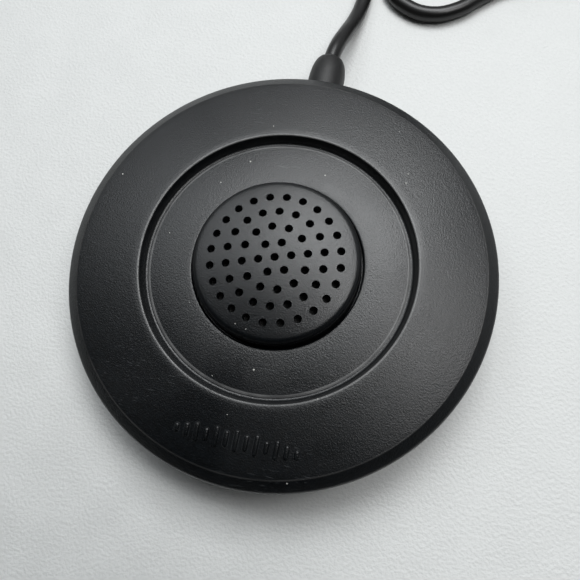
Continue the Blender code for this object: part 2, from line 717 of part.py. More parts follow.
def make_lead():
    make_cord_boot()
    tube("cord", LEAD_ROUTE, CORD_DIAMETER / 2, "cord_jacket", 7.0)
    make_cord_coil()
    tube("cord_tail", TAIL_ROUTE, CORD_DIAMETER / 2, "cord_jacket", 3.0)
    make_cord_tie()
    make_plug()


make_top_cover()
make_base_plate()
make_foot_ring()
make_ballast_plate()
make_grille_cap()
make_cap_lining()
make_capsule()
make_capsule_holder()
make_capsule_frame()
make_screws()
make_circuit_board()
make_board_parts()
make_inner_wiring()
make_cord_clamp()
make_lead()
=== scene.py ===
# %% [markdown]
# # A tabletop puck microphone, finished in Blender
# The frame that is loaded here holds the engineered parts of a small conference microphone: a low
# black disc with a grooved cover, a round perforated cap, a rubber boot and a thin lead. The frame
# gives the true sizes and places. This lesson models the surfaces that people see and touch more
# finely, gives every part its finish, and lights it all as in a small product studio.
# Everything stays in the frame's own place, because a finished piece is a drop-in for its part.

import json
import math

import bpy
from mathutils import Matrix, Vector


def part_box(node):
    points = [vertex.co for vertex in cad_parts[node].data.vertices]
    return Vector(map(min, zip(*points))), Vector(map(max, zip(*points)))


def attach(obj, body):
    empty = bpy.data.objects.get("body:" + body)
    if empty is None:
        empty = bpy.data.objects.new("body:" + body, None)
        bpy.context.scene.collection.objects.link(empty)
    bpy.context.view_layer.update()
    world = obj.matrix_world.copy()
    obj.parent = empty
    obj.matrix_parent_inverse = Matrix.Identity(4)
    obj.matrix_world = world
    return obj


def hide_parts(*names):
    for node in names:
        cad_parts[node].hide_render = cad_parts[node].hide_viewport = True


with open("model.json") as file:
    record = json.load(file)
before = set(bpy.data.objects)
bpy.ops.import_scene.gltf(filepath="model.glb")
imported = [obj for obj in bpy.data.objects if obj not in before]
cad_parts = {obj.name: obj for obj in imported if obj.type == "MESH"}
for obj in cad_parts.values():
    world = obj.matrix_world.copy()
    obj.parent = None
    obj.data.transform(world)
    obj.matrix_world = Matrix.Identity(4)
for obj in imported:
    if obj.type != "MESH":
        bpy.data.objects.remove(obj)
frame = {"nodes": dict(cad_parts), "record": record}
bpy.ops.object.select_all(action="DESELECT")
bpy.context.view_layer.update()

# %% [markdown]
# ## Working in millimetres
# Blender works in metres, and this object is 72 mm across, so every outline below is written in
# millimetres and turned into metres by one factor. The places of the parts come from the frame:
# a part's lowest and highest corners say where it is.

# %% Places that come from the frame
MM = 0.001


def corners_of(node):
    """A part's lowest and highest corner, in millimetres."""
    low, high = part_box(node)
    return low / MM, high / MM


def middle_of(node):
    low, high = corners_of(node)
    return (low + high) / 2


boot_low, boot_high = corners_of("cord_boot")
LEAD_AXIS_HEIGHT = middle_of("cord_boot").z
COIL_CENTRE = middle_of("cord_coil").to_2d()
PLUG_AXIS = middle_of("plug_body")
BODY_RADIUS = corners_of("top_cover")[1].x
print(f"body radius {BODY_RADIUS:.2f} mm, lead axis {LEAD_AXIS_HEIGHT:.2f} mm above the table")

# %% [markdown]
# ## Camera
# A close hand-held view from above and a little to the near side. A lens as long as the sensor is
# wide sees 53 degrees, which gives the strong perspective that an eye at arm's reach would see.

# %% Camera
camera = bpy.data.objects.new("camera", bpy.data.cameras.new("camera"))
bpy.context.scene.collection.objects.link(camera)
camera.data.lens = 36.0
camera.data.sensor_width = 36.0
camera.data.clip_start = 1.0 * MM
camera.location = Vector((15.404, -25.972, 102.869)) * MM
camera.rotation_euler = [math.radians(turn) for turn in (14.9396, 4.5167, 12.7180)]
bpy.context.scene.camera = camera
print(f"camera {camera.location.z / MM:.0f} mm above the table")

# %% [markdown]
# ## The lead's route
# The lead is one round cable, 3 mm thick and about 1.5 m long. It leaves the boot straight, comes
# down to the table, swings round once in a loose turn and is then wound in two layers, six turns
# each, inside a strap. The loose stretch is a list of given places. The wound stretch
# follows a rule, so a loop works it out: each turn keeps its radius for most of its way and steps
# across by one cable thickness in the same short sector.

# %% The loose stretch, in millimetres
CORD_DIAMETER = 3.0
LEAD_HEIGHT = CORD_DIAMETER / 2 + 0.02
STRAP_THICKNESS = 0.8
OVER_STRAP = LEAD_HEIGHT + STRAP_THICKNESS + 0.3
RAMP_FOOT = LEAD_HEIGHT + 0.1
RAMP_MIDDLE = 2.2

loose_route = [
    (0.0, boot_high.y - 2.5, LEAD_AXIS_HEIGHT),
    (0.0, boot_high.y + 0.3, LEAD_AXIS_HEIGHT),
    (0.4, 47.0, 6.1),
    (1.2, 51.0, 4.8),
    (2.0, 55.0, 3.1),
    (2.7, 59.2, 2.0),
    (3.0, 63.5, RAMP_FOOT),
    (2.6, 69.0, LEAD_HEIGHT),
    (2.0, 77.0, LEAD_HEIGHT),
    (1.7, 87.5, LEAD_HEIGHT),
    (2.0, 98.5, LEAD_HEIGHT),
    (4.6, 109.2, LEAD_HEIGHT),
    (10.4, 118.0, LEAD_HEIGHT),
    (18.9, 123.6, LEAD_HEIGHT),
    (28.5, 125.5, LEAD_HEIGHT),
    (38.4, 124.4, LEAD_HEIGHT),
    (47.4, 120.1, RAMP_FOOT),
    (53.1, 114.5, RAMP_MIDDLE),
    (56.1, 109.4, OVER_STRAP),
    (57.7, 104.8, OVER_STRAP),
    (58.4, 100.2, RAMP_MIDDLE),
    (58.4, 95.0, RAMP_FOOT),
    (55.7, 86.5, LEAD_HEIGHT),
    (50.4, 79.6, LEAD_HEIGHT),
    (43.5, 74.8, LEAD_HEIGHT),
    (36.5, 72.3, LEAD_HEIGHT),
    (30.8, 70.2, LEAD_HEIGHT),
    (26.2, 66.6, LEAD_HEIGHT),
    (22.0, 62.9, LEAD_HEIGHT),
    (17.0, 61.0, LEAD_HEIGHT),
    (12.0, 62.0, LEAD_HEIGHT),
    (8.1, 65.4, LEAD_HEIGHT),
    (6.0, 71.4, LEAD_HEIGHT),
    (5.5, 80.0, LEAD_HEIGHT),
    (5.3, 89.0, LEAD_HEIGHT),
    (5.6, 96.0, LEAD_HEIGHT),
]
print(f"{len(loose_route)} places on the loose stretch")

# %% The wound stretch
TIE_ANGLE = 20.0
STEP_SECTOR = 60.0
POINTS_PER_TURN = 30
ENTRY_RADIUS = 26.4
TOP_LAYER = LEAD_HEIGHT + CORD_DIAMETER
TURN_RADII = [23.0 - CORD_DIAMETER * step for step in range(6)]
tie_direction = Vector((math.cos(math.radians(TIE_ANGLE)), math.sin(math.radians(TIE_ANGLE))))


def ease(share):
    """A smooth step from 0 to 1."""
    share = min(1.0, max(0.0, share))
    return share * share * (3 - 2 * share)


def lift_over_strap(offset):
    """How far the strap under the coil raises a turn at this offset from the coil's centre."""
    if offset.dot(tie_direction) < 0:
        return 0.0
    across = abs(offset.x * tie_direction.y - offset.y * tie_direction.x)
    return (STRAP_THICKNESS + 0.05) * (1 - ease((across - 4.0) / 5.0))


def wound_route():
    """Six turns inwards on the table, then six outwards on top of them, clockwise from above."""
    turns = [(radius, LEAD_HEIGHT) for radius in TURN_RADII]
    turns += [(radius, TOP_LAYER) for radius in reversed(TURN_RADII)]
    places = []
    before = (ENTRY_RADIUS, LEAD_HEIGHT)
    for number, now in enumerate(turns, start=1):
        swept = 270.0 if number == len(turns) else 360.0
        for step in range(round(POINTS_PER_TURN * swept / 360.0)):
            turned = 360.0 * step / POINTS_PER_TURN
            share = ease(turned / STEP_SECTOR)
            radius = before[0] + (now[0] - before[0]) * share
            height = before[1] + (now[1] - before[1]) * share
            angle = math.radians(180.0 - turned)
            offset = radius * Vector((math.cos(angle), math.sin(angle)))
            places.append((*(COIL_CENTRE + offset), height + lift_over_strap(offset)))
        before = now
    return places


tail_route = [
    (*(COIL_CENTRE + Vector((-5.0, -22.1))), 5.6),
    (*(COIL_CENTRE + Vector((-9.8, -19.0))), 7.4),
    (*(COIL_CENTRE + Vector((-12.4, -14.6))), 8.8),
    (PLUG_AXIS.x, corners_of("plug_relief")[0].y - 0.3, PLUG_AXIS.z),
    (PLUG_AXIS.x, corners_of("plug_relief")[0].y + 2.0, PLUG_AXIS.z),
]
lead_route = loose_route + wound_route() + tail_route
print(f"{len(lead_route)} places on the whole lead")

# %% [markdown]
# ## The lead itself
# A cable is a Bezier curve with automatic handles and a round bevel. The handles make the smooth
# line that a springy cable takes by itself, and the bevel gives it its thickness, so the route can
# still be changed after the cable is finished. Blender grows a curve's box by its points' radius, in
# metres, so here the points carry the cable's true radius and the bevel depth is 1.

# %% The lead as one curve
lead_curve = bpy.data.curves.new("lead", "CURVE")
lead_curve.dimensions = "3D"
lead_curve.bevel_depth = 1.0
lead_curve.bevel_resolution = 6
lead_curve.resolution_u = 4
lead_curve.use_fill_caps = True
spline = lead_curve.splines.new("BEZIER")
spline.bezier_points.add(len(lead_route) - 1)
for point, place in zip(spline.bezier_points, lead_route):
    point.co = Vector(place) * MM
    point.radius = CORD_DIAMETER / 2 * MM
    point.handle_left_type = "AUTO"
    point.handle_right_type = "AUTO"
lead = bpy.data.objects.new("lead", lead_curve)
bpy.context.scene.collection.objects.link(lead)
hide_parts("cord", "cord_coil", "cord_tail")
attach(lead, "root")
print("lead drawn")

# %% [markdown]
# ## Node helpers
# A material is a small graph. A few helpers keep the graphs readable. One adds a node and fills or
# links its sockets by name, and the others add the nodes that are used most.

# %% Node helpers
def connect(tree, value, socket):
    """Links an output to this input, or sets the input's own value."""
    if isinstance(value, bpy.types.NodeSocket):
        tree.links.new(value, socket)
    else:
        socket.default_value = value


def add_node(tree, kind, sockets, **settings):
    made = tree.nodes.new("ShaderNode" + kind)
    for setting, value in settings.items():
        setattr(made, setting, value)
    for name, value in sockets.items():
        connect(tree, value, made.inputs[name])
    return made


def add_math(tree, operation, *values, clamp=False):
    made = tree.nodes.new("ShaderNodeMath")
    made.operation = operation
    made.use_clamp = clamp
    for socket, value in zip(made.inputs, values):
        connect(tree, value, socket)
    return made.outputs[0]


def between(tree, value, low, high, to_low=0.0, to_high=1.0):
    """Maps a value smoothly from one range to another."""
    sockets = {"Value": value, "From Min": low, "From Max": high, "To Min": to_low, "To Max": to_high}
    return add_node(tree, "MapRange", sockets, interpolation_type="SMOOTHSTEP").outputs[0]


def object_place(tree):
    """The point being shaded, in the object's own coordinates."""
    return add_node(tree, "TexCoord", {}).outputs["Object"]


def noise(tree, place, scale, detail, **more):
    """A soft random pattern; the scale counts waves to a metre."""
    return add_node(tree, "TexNoise", {"Vector": place, "Scale": scale, "Detail": detail, **more})


def connect_bump(tree, height, shader):
    """Bends the surface's normal by a height in metres."""
    bump = add_node(tree, "Bump", {"Height": height, "Distance": 1.0, "Strength": 1.0})
    connect(tree, bump.outputs[0], shader["Normal"])


def new_group(name, inputs, outputs):
    """An empty node group with named number inputs and outputs."""
    tree = bpy.data.node_groups.new(name, "ShaderNodeTree")
    for label, value in inputs.items():
        socket = tree.interface.new_socket(label, in_out="INPUT", socket_type="NodeSocketFloat")
        socket.default_value = value
    for label in outputs:
        tree.interface.new_socket(label, in_out="OUTPUT", socket_type="NodeSocketFloat")
    return tree, tree.nodes.new("NodeGroupInput").outputs, tree.nodes.new("NodeGroupOutput").inputs


print("helpers ready")

# %% [markdown]
# ## Spark-eroded grain
# Moulded plastic is rarely smooth. The steel mould is spark-eroded, which leaves tiny rounded
# craters that make the part matte. A noise and a finer cell pattern, added together, give the
# height of that grain, and a slower noise gives a value for slight changes of tone.

# %% Group: mould grain
grain_group, given, result = new_group("mould_grain", {"Size": 0.2}, ("Height", "Tone"))
place = object_place(grain_group)
per_metre = add_math(grain_group, "DIVIDE", 1.0 / MM, given["Size"])
coarse = noise(grain_group, place, per_metre, 2.0)
finer_scale = add_math(grain_group, "MULTIPLY", per_metre, 2.7)
cells = {"Vector": place, "Scale": finer_scale}
fine = add_node(grain_group, "TexVoronoi", cells, feature="SMOOTH_F1")
fine_share = add_math(grain_group, "MULTIPLY", fine.outputs["Distance"], 0.35)
grain_height = add_math(grain_group, "ADD", coarse.outputs[0], fine_share)
grain_group.links.new(grain_height, result["Height"])
tone_scale = add_math(grain_group, "MULTIPLY", per_metre, 0.35)
tone = noise(grain_group, place, tone_scale, 4.0)
grain_group.links.new(between(grain_group, tone.outputs[0], 0.3, 0.7), result["Tone"])
print("group mould_grain")

# %% [markdown]
# ## Wear along edges
# Hands and cloths polish a plastic part along its edges first. A Bevel node gives the normal that
# the surface would have with rounder edges. Where it differs from the real normal there is an
# edge, and a noise breaks the line up so that the wear isn't even.

# %% Group: edge wear
wear_group, given, result = new_group("edge_wear", {"Radius": 0.4, "Patchiness": 0.5}, ("Mask",))
radius = add_math(wear_group, "MULTIPLY", given["Radius"], MM)
rounder = add_node(wear_group, "Bevel", {"Radius": radius}, samples=6).outputs[0]
true_normal = add_node(wear_group, "NewGeometry", {}).outputs["Normal"]
alike = add_node(wear_group, "VectorMath", {0: rounder, 1: true_normal}, operation="DOT_PRODUCT")
edge = between(wear_group, alike.outputs["Value"], 0.995, 0.9)
place = object_place(wear_group)
patches = noise(wear_group, place, 260.0, 5.0)
low_patch = add_math(wear_group, "MULTIPLY", given["Patchiness"], 0.7)
patchy = between(wear_group, patches.outputs[0], low_patch, 0.75)
wear_group.links.new(add_math(wear_group, "MULTIPLY", edge, patchy), result["Mask"])
print("group edge_wear")

# %% [markdown]
# ## Painted highlights on the lips
# The rims that stand proudest, such as the two lips of a groove, carry a pale painted highlight
# all the way round, in place of the light that their small rounds would catch.
# They are circles about the object's own axis, so the distance from that axis finds them: the mask
# is strongest at one radius and fades within a fraction of a millimetre. A noise thins it in places.

# %% Group: painted lip highlight
lip_highlight_group, given, result = new_group("painted_lip_highlight", {"Radius": 20.0, "Width": 0.2}, ("Mask",))
place = object_place(lip_highlight_group)
no_height = {0: place, 1: (1.0, 1.0, 0.0)}
flat = add_node(lip_highlight_group, "VectorMath", no_height, operation="MULTIPLY").outputs[0]
from_axis = add_node(lip_highlight_group, "VectorMath", {0: flat}, operation="LENGTH").outputs["Value"]
wanted = add_math(lip_highlight_group, "MULTIPLY", given["Radius"], MM)
away = add_math(lip_highlight_group, "ABSOLUTE", add_math(lip_highlight_group, "SUBTRACT", from_axis, wanted))
reach = add_math(lip_highlight_group, "MULTIPLY", given["Width"], MM)
near = between(lip_highlight_group, add_math(lip_highlight_group, "DIVIDE", away, reach), 1.0, 0.2)
patches = noise(lip_highlight_group, place, 180.0, 4.0)
uneven = between(lip_highlight_group, patches.outputs[0], 0.25, 0.65, 0.45, 1.0)
# Painted highlight: this mask marks where each lip gets a pale line of colour.
lip_highlight_group.links.new(add_math(lip_highlight_group, "MULTIPLY", near, uneven), result["Mask"])
print("group painted_lip_highlight")

# %% [markdown]
# ## Dust and lint
# A black part on a desk always carries some dust. Small specks lie on faces that look up. A
# Voronoi cell holds one speck each, its random colour decides which cells have one and how big it
# is, and a fine noise makes its outline ragged.

# %% Group: dust
dust_inputs = {"Spacing": 2.2, "Speck": 0.11, "Share": 0.2}
dust_group, given, result = new_group("dust_specks", dust_inputs, ("Mask",))
place = object_place(dust_group)
per_metre = add_math(dust_group, "DIVIDE", 1.0 / MM, given["Spacing"])
wobble = noise(dust_group, place, 9000.0, 1.0)
around_zero = {0: wobble.outputs["Color"], 1: (0.5, 0.5, 0.5)}
shift = add_node(dust_group, "VectorMath", around_zero, operation="SUBTRACT").outputs[0]
shift = add_node(dust_group, "VectorMath", {0: shift, "Scale": 0.12 * MM}, operation="SCALE")
ragged = add_node(dust_group, "VectorMath", {0: place, 1: shift.outputs[0]}, operation="ADD").outputs[0]
cells = add_node(dust_group, "TexVoronoi", {"Vector": ragged, "Scale": per_metre})
chance = add_node(dust_group, "SeparateColor", {"Color": cells.outputs["Color"]}).outputs
has_speck = add_math(dust_group, "LESS_THAN", chance[0], given["Share"])
reach = add_math(dust_group, "DIVIDE", given["Speck"], given["Spacing"])
reach = add_math(dust_group, "MULTIPLY", reach, add_math(dust_group, "ADD", chance[1], 0.35))
inside = add_math(dust_group, "LESS_THAN", cells.outputs["Distance"], reach)
normal = add_node(dust_group, "NewGeometry", {}).outputs["Normal"]
up = add_node(dust_group, "SeparateXYZ", {0: normal})
faces_up = between(dust_group, up.outputs[2], 0.3, 0.9)
speck = add_math(dust_group, "MULTIPLY", has_speck, inside)
dust_group.links.new(add_math(dust_group, "MULTIPLY", speck, faces_up), result["Mask"])
print("group dust_specks")

# %% [markdown]
# ## Light scratches and smudges
# Fingers leave soft patches that change the gloss but not the colour, and keys or rings leave a
# few hairline scratches. A noise that is stretched forty times, and cut off high, leaves only thin
# short lines; three of them run in different directions. The smudge is a slow noise.

# %% Group: handling marks
SCRATCH_ANGLES = (12.0, 78.0, 131.0)
marks_inputs = {"Length": 6.0, "Share": 0.5}
marks_group, given, result = new_group("handling_marks", marks_inputs, ("Scratch", "Smudge"))
place = object_place(marks_group)
lines = []
scale = add_math(marks_group, "DIVIDE", 1.0 / MM, given["Length"])
for turn in SCRATCH_ANGLES:
    spin = (0.0, 0.0, math.radians(turn))
    stretch = {"Vector": place, "Rotation": spin, "Scale": (1.0, 40.0, 40.0)}
    stretched = add_node(marks_group, "Mapping", stretch)
    streak = noise(marks_group, stretched.outputs[0], scale, 1.0)
    lines.append(between(marks_group, streak.outputs[0], 0.735, 0.76))
scratch = add_math(marks_group, "MAXIMUM", lines[0], lines[1])
scratch = add_math(marks_group, "MAXIMUM", scratch, lines[2])
sparse = noise(marks_group, place, 70.0, 2.0)
sparse = between(marks_group, sparse.outputs[0], 0.52, 0.62)
scratch = add_math(marks_group, "MULTIPLY", scratch, sparse)
marks_group.links.new(add_math(marks_group, "MULTIPLY", scratch, given["Share"]), result["Scratch"])
smudge = noise(marks_group, place, 45.0, 3.0, Distortion=0.6)
marks_group.links.new(between(marks_group, smudge.outputs[0], 0.35, 0.7), result["Smudge"])
print("group handling_marks")

# %% [markdown]
# ## One recipe for moulded plastic and rubber
# The black parts of the microphone are all mouldings, and they differ in tone, gloss, grain and
# age. One function builds such a finish from the groups above: the grain bends the light, the
# worn edges are smoother and a little lighter, and the dust is pale and dull.

# %% Recipe: moulded finish
DUST_COLOUR = (0.5, 0.5, 0.47, 1.0)


def mixed(tree, share, first, second):
    """A colour between two colours."""
    made = add_node(tree, "Mix", {0: share}, data_type="RGBA")
    connect(tree, first, made.inputs[6])
    connect(tree, second, made.inputs[7])
    return made.outputs[2]


def place_group(tree, group, **values):
    made = tree.nodes.new("ShaderNodeGroup")
    made.node_tree = group
    for label, value in values.items():
        made.inputs[label].default_value = value
    return made.outputs


def new_material(name):
    material = bpy.data.materials.new(name)
    material.use_nodes = True
    return material, material.node_tree, material.node_tree.nodes["Principled BSDF"].inputs


def grey(value, tint=0.0):
    """A near-neutral colour; a positive tint is cooler."""
    return (value * (1 - tint), value, value * (1 + tint), 1.0)


def moulded(name, dark, light, worn, rough, grain, depth, wear=0.5, dust=0.2, marks=0.0, lip_highlights=()):
    """A moulded plastic or rubber; grain is its size and depth its height in mm.

    Each lip highlight is a radius and a width in mm, and how pale that painted highlight line is."""
    material, tree, shader = new_material(name)
    texture = place_group(tree, grain_group, Size=grain)
    edges = place_group(tree, wear_group, Radius=0.35, Patchiness=0.5)["Mask"]
    edges = add_math(tree, "MULTIPLY", edges, wear)
    specks = place_group(tree, dust_group, Share=dust)["Mask"]
    handling = place_group(tree, marks_group, Share=marks)
    colour = mixed(tree, texture["Tone"], dark, light)
    colour = mixed(tree, edges, colour, worn)
    # Painted highlight: a pale line of colour along each lip stands in for the light that its round
    # catches.
    for radius, width, highlight_paleness in lip_highlights:
        lip = place_group(tree, lip_highlight_group, Radius=radius, Width=width)["Mask"]
        colour = mixed(tree, lip, colour, grey(highlight_paleness))
    colour = mixed(tree, handling["Scratch"], colour, worn)
    colour = mixed(tree, specks, colour, DUST_COLOUR)
    connect(tree, colour, shader["Base Color"])
    gloss = between(tree, handling["Smudge"], 0.0, 1.0, rough - 0.03, rough + 0.04)
    gloss = add_math(tree, "SUBTRACT", gloss, add_math(tree, "MULTIPLY", edges, 0.12))
    gloss = add_math(tree, "ADD", gloss, add_math(tree, "MULTIPLY", specks, 0.4), clamp=True)
    connect(tree, gloss, shader["Roughness"])
    height = add_math(tree, "MULTIPLY", texture["Height"], depth * MM)
    speck_height = add_math(tree, "MULTIPLY", specks, 0.02 * MM)
    height = add_math(tree, "ADD", height, speck_height)
    connect_bump(tree, height, shader)
    return material


finishes = {}
print("recipe ready")

# %% [markdown]
# ## The black mouldings
# The cover and cap are ABS with a fine matte grain. The parts inside are the same plastic without
# the care for looks, the plug's body is smoother, and the foot, the boot and the strap are soft
# rubbers, which are duller and pick up more dust. The cable jacket is PVC with a soft sheen.

# %% Plastics and rubbers
# The groove's two lips and the ring's outer edge, with how pale the painted highlight on each is.
COVER_LIPS = ((21.5, 0.3, 0.15), (22.98, 0.26, 0.1), (33.97, 0.2, 0.025))
finishes["black_shell"] = moulded(
    "black_shell", grey(0.0015, 0.3), grey(0.0035, 0.3), grey(0.06, 0.05), 0.31, 0.25, 0.037,
    wear=0.35, dust=0.3, marks=0.8, lip_highlights=COVER_LIPS,
)
finishes["black_inner_plastic"] = moulded(
    "black_inner_plastic", grey(0.012), grey(0.018), grey(0.05), 0.5, 0.4, 0.008, dust=0.05
)
finishes["plug_plastic"] = moulded(
    "plug_plastic", grey(0.008), grey(0.011), grey(0.05), 0.34, 0.25, 0.003, marks=0.4, dust=0.05
)
finishes["black_rubber"] = moulded(
    "black_rubber", grey(0.013), grey(0.02), grey(0.04), 0.72, 0.3, 0.012, dust=0.3
)
finishes["boot_rubber"] = moulded(
    "boot_rubber", grey(0.004), grey(0.008), grey(0.03), 0.5, 0.3, 0.016, dust=0.15
)
finishes["tie_rubber"] = moulded(
    "tie_rubber", grey(0.03), grey(0.04), grey(0.08), 0.6, 0.3, 0.008, dust=0.15
)
finishes["grey_rubber"] = moulded(
    "grey_rubber", grey(0.075), grey(0.1), grey(0.14), 0.7, 0.35, 0.01, dust=0.1
)
finishes["cord_jacket"] = moulded(
    "cord_jacket", grey(0.003, -0.03), grey(0.005, -0.03), grey(0.03), 0.36, 0.4, 0.006,
    wear=0.0, dust=0.08,
)
finishes["chip_dark"] = moulded(
    "chip_dark", grey(0.02), grey(0.03), grey(0.06), 0.5, 0.12, 0.003, dust=0.0
)
finishes["wire_red"] = moulded(
    "wire_red", (0.35, 0.012, 0.01, 1.0), (0.45, 0.02, 0.015, 1.0), (0.5, 0.05, 0.04, 1.0),
    0.4, 0.3, 0.003, dust=0.0,
)
finishes["wire_white"] = moulded(
    "wire_white", (0.6, 0.59, 0.55, 1.0), (0.7, 0.69, 0.66, 1.0), grey(0.7),
    0.4, 0.3, 0.003, dust=0.0,
)
print(f"{len(finishes)} mouldings")

# %% [markdown]
# ## Bare and plated metal
# Turned and drawn metal has fine lines round it from the tool, and plating dulls in patches. The
# lines are a noise that is squeezed along one axis, and the patches change the roughness.

# %% Recipe: metal finish
def metal(name, dark, light, rough, lines, squeeze):
    """A metal with tool lines of this size in mm, squeezed by a factor along each axis."""
    material, tree, shader = new_material(name)
    place = object_place(tree)
    squeezed = add_node(tree, "Mapping", {"Vector": place, "Scale": squeeze}).outputs[0]
    tool_lines = noise(tree, squeezed, 1 / (lines * MM), 3.0)
    patches = noise(tree, place, 350.0, 4.0)
    colour = mixed(tree, between(tree, patches.outputs[0], 0.3, 0.7), dark, light)
    connect(tree, colour, shader["Base Color"])
    gloss = between(tree, patches.outputs[0], 0.3, 0.7, rough - 0.06, rough + 0.1)
    connect(tree, gloss, shader["Roughness"])
    shader["Metallic"].default_value = 1.0
    height = add_math(tree, "MULTIPLY", tool_lines.outputs[0], 0.002 * MM)
    connect_bump(tree, height, shader)
    return material


finishes["nickel_plate"] = metal(
    "nickel_plate", (0.62, 0.59, 0.54, 1.0), (0.72, 0.7, 0.66, 1.0), 0.2, 0.5, (0.15, 1.0, 0.15)
)
finishes["zinc_steel"] = metal(
    "zinc_steel", (0.42, 0.43, 0.45, 1.0), (0.58, 0.59, 0.6, 1.0), 0.34, 0.3, (1.0, 1.0, 0.2)
)
finishes["bright_aluminium"] = metal(
    "bright_aluminium", (0.68, 0.69, 0.71, 1.0), (0.78, 0.79, 0.8, 1.0), 0.28, 0.25, (0.2, 0.2, 1.0)
)
print("3 metals")

# %% [markdown]
# ## Dust cloth and circuit board
# The cloth under the cap keeps crumbs off the microphone capsule. It is a plain weave of black
# yarn, so two sine waves at right angles, multiplied, give its height. The same height also paints
# the yarn lighter on its crowns and darker in the hollows between them, as painted light and shade.
# The board is glass fibre under green lacquer with a mottled tone.

# %% Woven cloth
WEAVE_PITCH = 0.32

material, tree, shader = new_material("black_cloth")
place = object_place(tree)
axes = add_node(tree, "SeparateXYZ", {0: place}).outputs
turns = 2 * math.pi / (WEAVE_PITCH * MM)
along = add_math(tree, "SINE", add_math(tree, "MULTIPLY", axes[0], turns))
across = add_math(tree, "SINE", add_math(tree, "MULTIPLY", axes[1], turns))
weave = add_math(tree, "MULTIPLY", along, across)
fibres = noise(tree, place, 14000.0, 2.0)
weave = add_math(tree, "ADD", weave, fibres.outputs[0])
# Painted light and shade: the weave's crowns are coloured lighter and its hollows darker.
colour = mixed(tree, between(tree, weave, -1.0, 1.6), grey(0.004), grey(0.03))
connect(tree, colour, shader["Base Color"])
connect(tree, between(tree, weave, -1.0, 1.6, 0.8, 0.6), shader["Roughness"])
shader["Sheen Weight"].default_value = 0.2
shader["Sheen Roughness"].default_value = 0.4
height = add_math(tree, "MULTIPLY", weave, 0.03 * MM)
connect_bump(tree, height, shader)
finishes["black_cloth"] = material
print("woven cloth")

# %% Lacquered board
material, tree, shader = new_material("board_green")
place = object_place(tree)
fibre = add_node(tree, "TexVoronoi", {"Vector": place, "Scale": 1800.0}, distance="CHEBYCHEV")
cloudy = noise(tree, place, 500.0, 4.0)
share = add_math(tree, "MULTIPLY", fibre.outputs["Distance"], cloudy.outputs[0])
mottled = between(tree, share, 0.1, 0.5)
colour = mixed(tree, mottled, (0.01, 0.09, 0.035, 1.0), (0.02, 0.15, 0.06, 1.0))
connect(tree, colour, shader["Base Color"])
connect(tree, between(tree, cloudy.outputs[0], 0.3, 0.7, 0.28, 0.42), shader["Roughness"])
height = add_math(tree, "MULTIPLY", share, 0.01 * MM)
connect_bump(tree, height, shader)
finishes["board_green"] = material
print("lacquered board")

# %% [markdown]
# ## Dress the engineered parts
# Each engineered part names its finish in the record that comes with the frame. A part whose shape
# is already right keeps its mesh and only changes its material.

# %% Give every part its finish
slot_of = {entry["node"]: entry["material_slot"] for entry in frame["record"]["subparts"]}

for node_name, part in frame["nodes"].items():
    finish = finishes[slot_of[node_name]]
    part.data.materials.clear()
    part.data.materials.append(finish)
lead.data.materials.append(finishes["cord_jacket"])
print(f"{len(slot_of)} parts dressed in {len(set(slot_of.values()))} finishes")

# %% [markdown]
# ## Turned pieces
# Nearly every piece here is round. As by hand, one vertex is extruded along the outline, the
# outline is spun once round the Z axis, and the seam and the poles are merged. Corners are given
# with a radius each, and a helper turns each into a short arc, since no moulded edge is truly
# sharp and the small rounds are what catches the light.

# %% Outline helper
def rounded(corners, pieces=5):
    """Outline points; each corner is (r, z, radius), and a radius of 0 keeps it sharp."""
    outline = []
    for i, (r, z, radius) in enumerate(corners):
        here = Vector((r, z))
        if radius == 0:
            outline.append(here)
            continue
        back = (Vector(corners[i - 1][:2]) - here).normalized()
        ahead = (Vector(corners[(i + 1) % len(corners)][:2]) - here).normalized()
        half = back.angle(ahead) / 2
        centre = here + (back + ahead).normalized() * radius / math.sin(half)
        first = here + back * radius / math.tan(half) - centre
        sweep = math.pi - 2 * half
        if first.x * (here - centre).y - first.y * (here - centre).x < 0:
            sweep = -sweep
        for step in range(pieces + 1):
            outline.append(centre + Matrix.Rotation(sweep * step / pieces, 2) @ first)
    return outline


corner_test = rounded([(0, 0, 0), (2, 0, 0.5), (2, 2, 0)], 2)
print([tuple(round(v, 2) for v in point) for point in corner_test])

# %% Turning helper
CRISP_ANGLE = 32.0
WELD = 0.001 * MM


def start_with_point(name, place):
    """A mesh of one vertex at this place in mm, in edit mode and selected."""
    bpy.ops.object.select_all(action="DESELECT")
    bpy.ops.mesh.primitive_plane_add(size=MM)
    piece = bpy.context.object
    piece.name = name
    piece.data.name = name
    bpy.ops.object.mode_set(mode="EDIT")
    bpy.ops.mesh.select_mode(type="VERT")
    bpy.ops.mesh.select_all(action="SELECT")
    bpy.ops.mesh.merge(type="CENTER")
    bpy.ops.transform.translate(value=Vector(place) * MM)
    return piece


def extrude_by(step):
    bpy.ops.mesh.extrude_region_move(TRANSFORM_OT_translate={"value": Vector(step) * MM})


def smoothed(piece):
    """Shades the piece smooth, and leaves its sharper edges crisp."""
    bpy.ops.object.select_all(action="DESELECT")
    piece.select_set(True)
    bpy.ops.object.shade_smooth_by_angle(angle=math.radians(CRISP_ANGLE))
    return piece


def turned(name, outline, steps=128, closed=False):
    """A solid of revolution about Z from (r, z) points; a closed outline is a ring."""
    outline = [Vector(point) for point in outline]
    if closed:
        outline.append(outline[0])
    piece = start_with_point(name, (outline[0].x, 0.0, outline[0].y))
    for before, after in zip(outline, outline[1:]):
        extrude_by((after.x - before.x, 0.0, after.y - before.y))
    bpy.ops.mesh.select_all(action="SELECT")
    bpy.ops.mesh.remove_doubles(threshold=WELD)
    bpy.ops.mesh.spin(steps=steps, angle=2 * math.pi, center=(0, 0, 0), axis=(0, 0, 1))
    bpy.ops.mesh.select_all(action="SELECT")
    bpy.ops.mesh.remove_doubles(threshold=WELD)
    bpy.ops.mesh.normals_make_consistent(inside=False)
    bpy.ops.object.mode_set(mode="OBJECT")
    return smoothed(piece)


